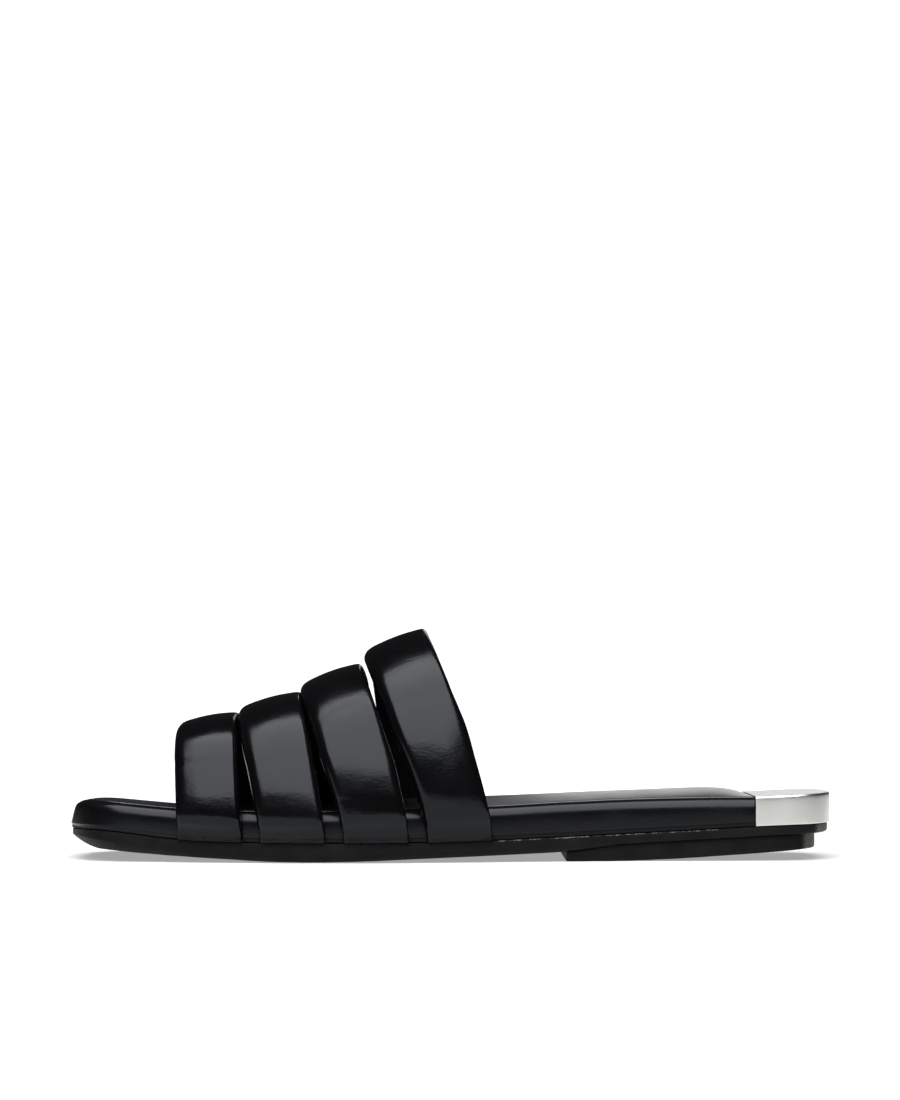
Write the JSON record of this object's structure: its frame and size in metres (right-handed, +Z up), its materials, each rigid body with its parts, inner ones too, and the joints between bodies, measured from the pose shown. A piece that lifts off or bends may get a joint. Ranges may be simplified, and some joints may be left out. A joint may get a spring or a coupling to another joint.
{
  "type": "open-toe slide sandal",
  "caption": "Left open-toe slide sandal with wide padded leather bands over a padded footbed, a metal heel cap and a low heel.",
  "frame": {"origin": "on the floor, under the centre of the shoe's bounding box", "axes": "+X from toe to heel, +Y to the medial side, +Z up from the floor"},
  "size_m": [0.2574, 0.098, 0.0775],
  "materials": {
    "upper_leather": "smooth, glossy black",
    "footbed_leather": "smooth black, satin",
    "sole_leather": "dark brown-black, rough edge",
    "cap_metal": "silver, softly polished"
  },
  "bodies": {
    "root": {"outsole": "sole_leather", "heel_lift": "sole_leather", "footbed": "footbed_leather", "insole_sock": "footbed_leather", "heel_cap": "cap_metal", "strap_1_toe": "upper_leather", "strap_2_ball": "upper_leather", "strap_3_waist": "upper_leather", "strap_4_instep": "upper_leather"}
  },
  "joints": []
}
